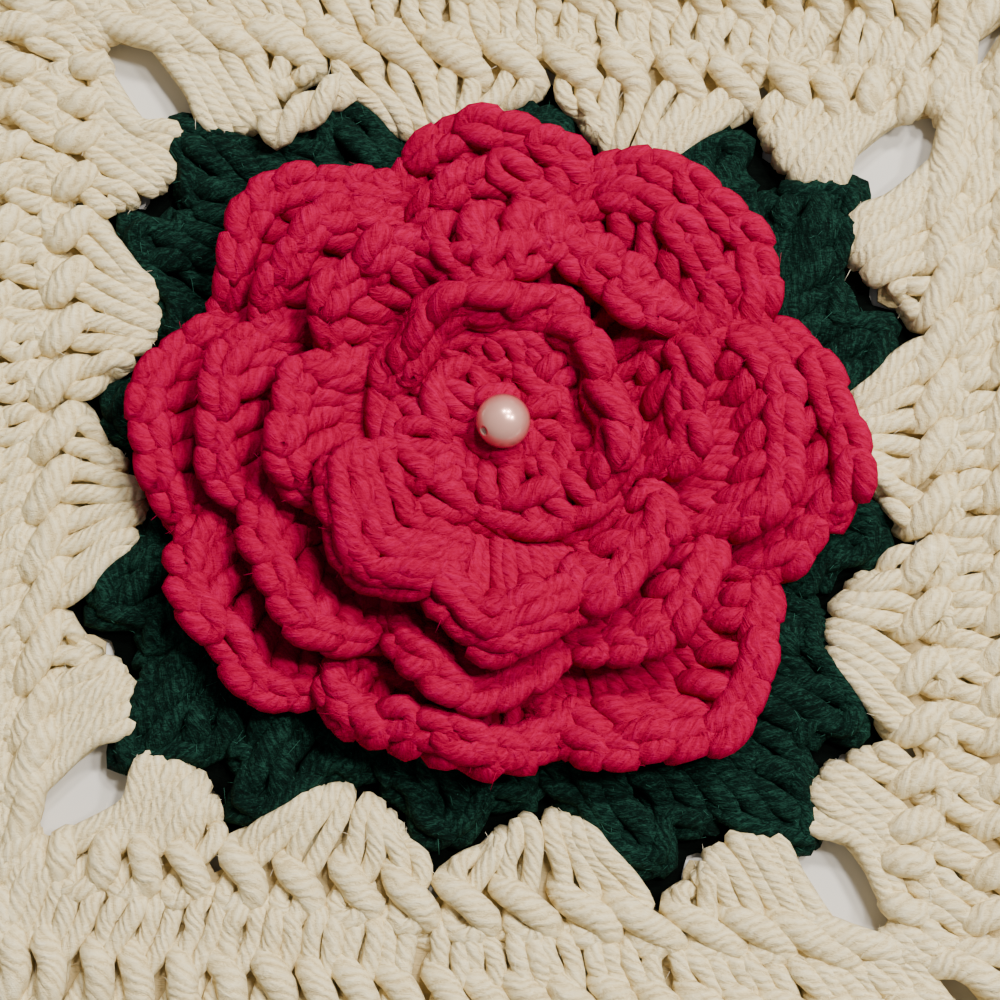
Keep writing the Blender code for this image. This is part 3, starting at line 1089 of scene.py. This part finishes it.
@dataclass
class LeafRow(Row):
    """The green fans: each fills a notch of the border with a blunt point."""

    form: SquareForm = field(default_factory=SquareForm)
    centre: tuple[float, float] = ROSE_CENTRE
    per_fan: int = 5
    half_fan: float = 0.49
    half_edge: float = 0.46
    inset: float = 1.0
    hub: float = 27.0
    tallest: float = 21.0
    mid: float = 2.4

    def place(self, number: int, across: np.ndarray, up: np.ndarray) -> np.ndarray:
        """Straight out from the hub to the leaf's edge."""
        fan, which = divmod(number, self.per_fan)
        from_right = (which + 0.5 - across) / self.per_fan
        point = 4.0 * self.form.clusters - fan
        steps = point + self.half_fan * (1.0 - 2.0 * from_right)
        near = point + np.clip(steps - point, -self.half_edge, self.half_edge)
        edge = self.form.at(self.form.turns_of(near), self.form.leaf_ring(near) - self.inset)
        middle = np.array([*self.centre, 0.0])
        away = edge - middle
        length = np.linalg.norm(away, axis=1)
        base = np.maximum(self.hub, length - self.tallest)
        spot = middle + away * ((base + (length - base) * up) / length)[:, None]
        spot[:, 2] = self.mid
        return spot


@dataclass
class LeafRound:
    """The dark green round that carries the rose and fills the border's notches.

    Its ground slopes down between two distances, to lie below the border's clusters, and its near-black sheet
    paints the shade in the gaps there.
    """

    form: SquareForm = field(default_factory=SquareForm)
    radius: float = GREEN_RADIUS
    centre: tuple[float, float] = ROSE_CENTRE
    ground_start: float = 22.5
    ground_height: float = 2.2
    ground_drop: float = 1.3
    drop_start: float = 38.0
    drop_length: float = 6.0

    def ground_spot(self, around: np.ndarray, out: np.ndarray) -> np.ndarray:
        """A point of the ground, from the hub out to the leaves' edge."""
        steps = around * 16.0
        edge = self.form.at(self.form.turns_of(steps), self.form.under_ring(steps))
        middle = np.array([*self.centre, 0.0])
        away = edge - middle
        length = np.linalg.norm(away, axis=1)
        spot = middle + away * ((self.ground_start + (length - self.ground_start) * out) / length)[:, None]
        drop = np.clip((length * out - self.drop_start) / self.drop_length, 0.0, 1.0)
        spot[:, 2] = self.ground_height - self.ground_drop * drop
        return spot

    def build(self) -> None:
        """Work the ring and the fans on their ground."""
        ring = Yarn(GREEN_YARN, radius=self.radius)
        ring.lay(RingRow(Stitch.SINGLE, 26, radius=self.radius, centre=self.centre,
                         inner=(21.8, 2.4), outer=(27.5, 2.4)).round_route(11))
        fans = Yarn(GREEN_YARN, radius=self.radius)
        fans.lay(LeafRow(Stitch.DOUBLE, 80, radius=self.radius, form=self.form,
                         centre=self.centre, unevenness=1.6).round_route(13))
        rounds = [ring.build("leaf_ring"), fans.build("leaf_fans"),
                  Fuzz(GREEN_YARN, 2500, seed=62).build("leaf_fuzz", [fans])]
        # Painted shade: a near-black sheet under the fans and out into the gaps below the clusters' tips
        cloth = ShadedGround(GREEN_YARN, patches=[(256, 12, self.ground_spot)]).build("leaf_ground")
        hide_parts("leaf_round")


# ---- the rose ------------------------------------------------------------------


@dataclass(frozen=True)
class Petal:
    """One petal as a section from its foot, past its belly, to its rim, and its spread.

    Its face is -1 where it is folded over, so that its back is seen. It has as many rolls
    as there are more strands along its edge, where that is rolled inward.
    """

    bearing: float
    spread: float
    belly: tuple[float, float]
    rim: tuple[float, float]
    face: float = 1.0
    rolls: int = 0

    def section(self, foot: tuple[float, float], share: np.ndarray) -> tuple[np.ndarray, np.ndarray]:
        """Radius and height at shares of the way from the foot to the rim."""
        low, middle, high = (1.0 - share) ** 2, 2.0 * share * (1.0 - share), share ** 2
        radius = low * foot[0] + middle * self.belly[0] + high * self.rim[0]
        height = low * foot[1] + middle * self.belly[1] + high * self.rim[1]
        return radius, height


@dataclass
class PetalRow(Row):
    """The stitches of one petal, fanned from its foot and shorter towards its sides.

    They stand on its outline's arc, a share of a half turn, and their tops stop short of
    the outline, which the braid then reaches. The ground stays inside them.
    """

    petal: Petal = field(default_factory=lambda: Petal(0.0, 20.0, (30.0, 6.0), (40.0, 9.0)))
    centre: tuple[float, float] = ROSE_CENTRE
    foot: tuple[float, float] = (20.6, 6.5)
    start: float = 0.36
    side: float = 0.52
    tilt: float = 1.0
    droop: float = 1.0
    wave: float = 0.8
    phase: float = 0.0
    bluntness: float = 1.9
    arc: float = 0.45
    top: float = 0.965
    ground_width: float = 1.84
    ground_reach: float = 0.9

    def reach(self, turn: np.ndarray) -> np.ndarray:
        """How far out the petal goes, as a share of its length in the middle."""
        oval = np.sqrt(np.maximum(0.0, 1.0 - np.abs(turn) ** self.bluntness))
        return self.side + (1.0 - self.side) * oval

    def spot(self, turn: np.ndarray, share: np.ndarray) -> np.ndarray:
        """A point of the petal.

        Args:
            turn: from -1 at its left side to 1 at its right.
            share: from 0 at the petal's foot to 1 at its rim.

        Returns:
            Points in millimetres, one row each.
        """
        out = share * self.reach(turn)
        radius, height = self.petal.section(self.foot, out)
        height = height + (self.tilt * turn - self.droop * turn ** 4) * np.clip(out / 0.4, 0.0, 1.0)
        radius = radius + self.wave * np.sin(6.0 * turn + self.phase) * np.clip(out, 0.0, 1.0)
        height = height + self.wave * np.cos(5.0 * turn + 2.0 * self.phase) * np.clip(out, 0.0, 1.0)
        bearing = np.radians(self.petal.bearing + self.petal.spread * turn)
        return about(self.centre, bearing, radius, height)

    def place(self, number: int, across: np.ndarray, up: np.ndarray) -> np.ndarray:
        """Even along the rim, which is like half an ellipse."""
        even = 1.0 - 2.0 * (number + 0.5 - across) / self.count
        turn = np.clip(np.sin(even * self.arc * math.pi) / math.sin(self.arc * math.pi), -1.0, 1.0)
        first = self.start / self.reach(turn)
        return self.spot(turn, first + (self.top - first) * up)

    def rim_length(self) -> float:
        """Millimetres along the outline, over the same arc."""
        turn = np.sin(np.linspace(-self.arc, self.arc, 40) * math.pi) / math.sin(self.arc * math.pi)
        return float(distances(self.spot(turn, np.ones(len(turn)))).sum())

    def rolled_edge(self, up: float) -> np.ndarray:
        """The endless route of two strands that lie on the stitches, along a rolled edge.

        Args:
            up: how far up the stitches the upper one lies.

        Returns:
            Points in millimetres and the yarn's thickness there.
        """
        across = np.linspace(0.9 - self.count, 0.1, 6 * self.count)
        away = (1.75 + 0.22 * np.sin(2.0 * math.pi * across)) * self.radius
        low = up - 1.9 * self.radius / self.tallness(self.count // 2)
        there = self.lift(0, across, up + 0.02 * np.sin(2.0 * math.pi * across), away)
        back = self.lift(0, across[::-1], low + 0.02 * np.cos(2.0 * math.pi * across), away[::-1])
        return np.column_stack([np.vstack([there, back]), np.full(2 * len(across), 1.08)])

    def ground_spot(self, across: np.ndarray, out: np.ndarray) -> np.ndarray:
        """A point of the petal's ground."""
        return self.spot((across - 0.5) * self.ground_width, self.ground_reach * out)


@dataclass
class RoseLayer:
    """One layer of petals.

    Start is where the stitches begin and side is how far a petal's sides go, both as
    shares of its length. The first roll lies so far up the stitches, the next ones lower.
    """

    name: str
    node: str
    petals: tuple[Petal, ...]
    centre: tuple[float, float]
    foot: tuple[float, float]
    start: float
    side: float
    spread_gain: float = 1.12
    radius: float = RED_RADIUS
    pitch: float = 4.9
    depth: float = 0.62
    tilt: float = 1.0
    roll_up: float = 0.80
    roll_pitch: float = 0.34
    fuzz_per_metre: int = 340
    flat: tuple[float, float] = (0.1, 0.1)
    area: float = 0.006
    seed: int = 20
    floor: tuple[float, float] | None = None

    def floor_spot(self, around: np.ndarray, out: np.ndarray) -> np.ndarray:
        """A point of the disc below the floor that the petals stand round."""
        reach, height = self.floor
        bearing, radius = 2.0 * math.pi * around, 0.5 + (reach - 0.5) * out
        return about(self.centre, bearing, radius, np.full_like(radius, height))

    def rows(self) -> list[PetalRow]:
        """The rows of stitches, one for each petal."""
        made = []
        for number, petal in enumerate(self.petals):
            wide = replace(petal, spread=petal.spread * self.spread_gain)
            row = PetalRow(Stitch.DOUBLE, 0, radius=self.radius, depth=self.depth * petal.face, petal=wide,
                           centre=self.centre, foot=self.foot, start=self.start, side=self.side,
                           tilt=self.tilt, phase=1.7 * number + self.seed, unevenness=2.3, rim=1.12,
                           top_set=0.5 * petal.face)
            row.count = round(row.rim_length() / self.pitch)
            made.append(row)
        return made

    def build(self, more: list[np.ndarray]) -> None:
        """Work the petals on their ground.

        Args:
            more: further endless routes that belong to the layer.
        """
        rows = self.rows()
        yarn = Yarn(RED_YARN, radius=self.radius)
        for number, row in enumerate(rows):
            yarn.lay(row.open_route(self.seed + number))
            for roll in range(row.petal.rolls):
                yarn.lay(row.rolled_edge(self.roll_up - self.roll_pitch * roll))
        for route in more:
            yarn.lay(route)
        pieces = [yarn.build(self.name + "_yarn"),
                  Fuzz(RED_YARN, round(self.fuzz_per_metre * yarn.length()), seed=self.seed).build(
                      self.name + "_fuzz", [yarn])]
        # Painted shade under the petals, and under the heart's floor where it has one: sheets in the red's
        # shadow colour
        patches = [(14, 12, row.ground_spot) for row in rows]
        if self.floor:
            patches.append((36, 8, self.floor_spot))
        cloth = ShadedGround(RED_YARN, patches=patches).build(self.name + "_ground")
        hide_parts(self.node)


def petals_of(table: tuple[tuple[float, ...], ...]) -> tuple[Petal, ...]:
    """Petals from rows of bearing, half spread, belly out and up, rim out and up, face and rolls."""
    return tuple(Petal(*row[:2], row[2:4], row[4:6], *row[6:]) for row in table)


OUTER_PETALS = petals_of((
    (-47, 24, 36, 3.2, 45.6, 12.2),
    (-4, 23, 35, 3.2, 44.6, 12.2),
    (39, 26, 35.5, 3.2, 45.2, 12.0),
    (88, 27, 37.5, 3.2, 46.9, 11.8),
    (140, 27, 38, 3.2, 47.2, 11.8),
    (188, 24, 48, 6.6, 37.2, 14.4, -1, 1),
    (234, 24, 37, 3.2, 46.3, 11.8),
    (272, 23, 38, 3.2, 47.6, 12.0),
))
MIDDLE_PETALS = petals_of((
    (-47, 24, 30.5, 8.0, 38.0, 16.6),
    (-5, 22, 29, 8.0, 36.0, 17.0),
    (36, 26, 30.5, 8.0, 38.2, 16.6),
    (85, 25, 32, 8.0, 39.6, 16.4),
    (133, 26, 27.5, 8.4, 34.4, 16.2),
    (183, 25, 27.5, 8.6, 33.8, 16.2),
    (233, 27, 28.5, 8.4, 36.0, 16.2),
    (274, 24, 31, 8.0, 38.8, 16.4),
))
INNER_PETALS = petals_of((
    (-43, 22, 23, 12.2, 29.0, 20.4),
    (-6, 24, 39, 18.0, 18.8, 22.6, -1, 1),
    (34, 23, 36, 17.4, 21.4, 21.6, -1),
    (74, 24, 22, 12.2, 26.6, 20.6),
    (132, 25, 21, 12.4, 26.2, 20.2),
    (175, 23, 22, 19.5, 27.6, 19.4, 1, 1),
    (228, 28, 20, 22.0, 24.8, 19.2, 1, 2),
    (269, 22, 23, 12.2, 29.2, 20.0),
))
HEART_PETALS = petals_of((
    (-15, 47, 18.5, 16.0, 16.6, 23.4, 1, 1),
    (68, 54, 16.5, 15.8, 14.2, 23.0),
))


@dataclass
class Rose:
    """The raised rose: three layers of petals, a curled heart and the hub below them."""

    centre: tuple[float, float] = ROSE_CENTRE
    heart_centre: tuple[float, float] = (1.2, 4.7)

    def rounds(self, centre: tuple[float, float], rings: tuple[tuple[int, float, float, float, float], ...],
               wobble: float = 0.0) -> list[np.ndarray]:
        """Rounds of single crochet about a centre.

        Args:
            centre: where they are.
            rings: stitches, inner radius and height, outer radius and height of each.
            wobble: how far they stray from true rounds, as a share of their radius.

        Returns:
            Their routes.
        """
        return [RingRow(Stitch.SINGLE, count, radius=RED_RADIUS, centre=centre, inner=(near, low),
                        outer=(far, high), unevenness=1.0 + 12.0 * wobble, wobble=wobble,
                        rim=1.15).round_route(40 + number)
                for number, (count, near, low, far, high) in enumerate(rings)]

    def build(self) -> None:
        """Work the layers from the lowest up."""
        hub = self.rounds(self.centre, ((7, 1.2, 2.0, 5.2, 2.0), (12, 5.2, 2.0, 9.6, 2.0),
                                        (18, 9.6, 2.0, 14.2, 2.0), (24, 14.2, 2.0, 18.8, 2.0),
                                        (26, 19.0, 2.2, 20.2, 6.6)))
        RoseLayer("rose_outer", "rose_outer_petals", OUTER_PETALS, self.centre, (20.6, 6.5),
                  start=0.27, side=0.28, flat=(0.1, 0.1), area=0.0053, seed=20).build(hub)
        RoseLayer("rose_middle", "rose_middle_petals", MIDDLE_PETALS, self.centre, (15.0, 9.8),
                  start=0.27, side=0.30, flat=(0.078, 0.078), area=0.0037, seed=50).build([])
        RoseLayer("rose_inner", "rose_inner_petals", INNER_PETALS, self.centre, (11.0, 13.1),
                  start=0.12, side=0.45, flat=(0.07, 0.07), area=0.0023, seed=80).build([])
        floor = self.rounds(self.heart_centre, ((5, 1.0, 16.2, 5.6, 16.2), (9, 5.2, 16.2, 10.2, 16.6),
                                                (13, 9.6, 16.6, 14.6, 16.6)), wobble=0.15)
        RoseLayer("rose_heart", "rose_heart", HEART_PETALS, self.heart_centre, (7.5, 16.2),
                  start=0.10, side=0.60, spread_gain=1.05, tilt=0.3, flat=(0.038, 0.034), area=0.0011,
                  seed=110, floor=(13.6, 15.9)).build(floor)


@dataclass
class Pearl:
    """The sewn-on bead, which shows one end of its drilled hole."""

    diameter: float = 7.0
    hole_radius: float = 0.45
    hole_depth: float = 0.6
    hole_bearing: float = 235.0
    hole_lean: float = 58.0

    def build(self) -> None:
        """Make the bead, sink both ends of its hole by a share of its radius and turn it."""
        low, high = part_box("pearl_bead")
        middle = (Vector(low) + Vector(high)) / 2
        bm = bmesh.new()
        bmesh.ops.create_uvsphere(bm, u_segments=64, v_segments=40, radius=self.diameter / 2 * MM)
        hole = self.hole_radius * MM
        for vert in bm.verts:
            away = math.hypot(vert.co.x, vert.co.y)
            if away < hole:
                vert.co.z *= 1.0 - self.hole_depth * (1.0 - away / hole)
        turn = Matrix.Rotation(math.radians(-self.hole_bearing), 3, "Z") \
            @ Matrix.Rotation(math.radians(-self.hole_lean), 3, "X")
        bmesh.ops.rotate(bm, cent=(0.0, 0.0, 0.0), matrix=turn, verts=bm.verts)
        bmesh.ops.translate(bm, vec=middle, verts=bm.verts)
        mesh = bpy.data.meshes.new("pearl")
        bm.to_mesh(mesh)
        bm.free()
        piece = add_piece("pearl", mesh, PearlFinish().material())
        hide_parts("pearl_bead")


# ---- studio --------------------------------------------------------------------


@dataclass
class Studio:
    """A pale floor, soft lamps up to the right over a dim room, and the camera above."""

    look_at: tuple[float, float, float] = (1.11, -2.79, 4.0)
    distance: float = 320.0
    tilt: float = math.radians(8.0)
    roll: float = math.radians(2.3)
    span: float = 1000 / 7.5
    floor: str = "D9D6D1"
    lamp_spots: tuple[tuple[float, float], ...] = ((-0.30, 0.06), (-0.10, -0.10), (0.10, 0.12), (0.30, -0.04))
    lamp_size: float = 0.11
    lamp_power: float = 4.8
    room_light: float = 0.24

    def build_camera(self) -> None:
        """Aim the camera down at the rose, leaning a little back from straight above."""
        right = Vector((math.cos(self.roll), math.sin(self.roll), 0.0))
        ahead = Vector((-math.sin(self.roll), math.cos(self.roll), 0.0))
        back = Vector((0.0, 0.0, math.cos(self.tilt))) - ahead * math.sin(self.tilt)
        up = back.cross(right)
        place = (Vector(self.look_at) + back * self.distance) * MM
        lens = bpy.data.cameras.new("camera")
        lens.lens = lens.sensor_width * self.distance / self.span
        lens.clip_start = 0.01
        camera = bpy.data.objects.new("camera", lens)
        camera.matrix_world = Matrix((
            (right.x, up.x, back.x, place.x),
            (right.y, up.y, back.y, place.y),
            (right.z, up.z, back.z, place.z),
            (0.0, 0.0, 0.0, 1.0)))
        bpy.context.scene.collection.objects.link(camera)
        bpy.context.scene.camera = camera

    def build_floor(self) -> None:
        """Lay the pale floor."""
        bm = bmesh.new()
        bmesh.ops.create_grid(bm, x_segments=1, y_segments=1, size=1.5)
        mesh = bpy.data.meshes.new("floor")
        bm.to_mesh(mesh)
        bm.free()
        floor = bpy.data.objects.new("floor", mesh)
        # Matt paper: even and pale, without a gloss
        mat, shader = new_material("matt_paper")
        shader.inputs["Base Color"].default_value = linear(self.floor)
        shader.inputs["Roughness"].default_value = 0.9
        mesh.materials.append(mat)
        bpy.context.scene.collection.objects.link(floor)

    def build_light(self) -> None:
        """Hang a cluster of four soft lamps up to the right, over a dim room."""
        aim = Vector((0.32, 0.32, 0.78))
        across = aim.cross(Vector((0.0, 0.0, 1.0))).normalized()
        over = across.cross(aim).normalized()
        for number, (right, up) in enumerate(self.lamp_spots):
            lamp = bpy.data.lights.new(f"lamp_{number}", "AREA")
            lamp.shape = "DISK"
            lamp.size = self.lamp_size
            lamp.energy = self.lamp_power
            lamp.color = (1.0, 0.96, 0.90)
            holder = bpy.data.objects.new(f"lamp_{number}", lamp)
            holder.location = aim + across * right + over * up
            holder.rotation_euler = aim.to_track_quat("Z", "Y").to_euler()
            bpy.context.scene.collection.objects.link(holder)
        world = bpy.data.worlds.new("room")
        world.use_nodes = True
        world.node_tree.nodes["Background"].inputs["Color"].default_value = linear("F1F3F6")
        world.node_tree.nodes["Background"].inputs["Strength"].default_value = self.room_light
        bpy.context.scene.world = world

    def build(self) -> None:
        """Set up the whole studio."""
        self.build_camera()
        self.build_floor()
        self.build_light()


def main() -> None:
    """Build every piece in order and note the sizes."""
    logging.basicConfig(level=logging.INFO, format="%(message)s")
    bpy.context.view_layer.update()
    Studio().build()
    form = SquareForm()
    CreamBorder(form).build()
    LeafRound(form).build()
    Rose().build()
    Pearl().build()


if __name__ == "__main__":
    main()
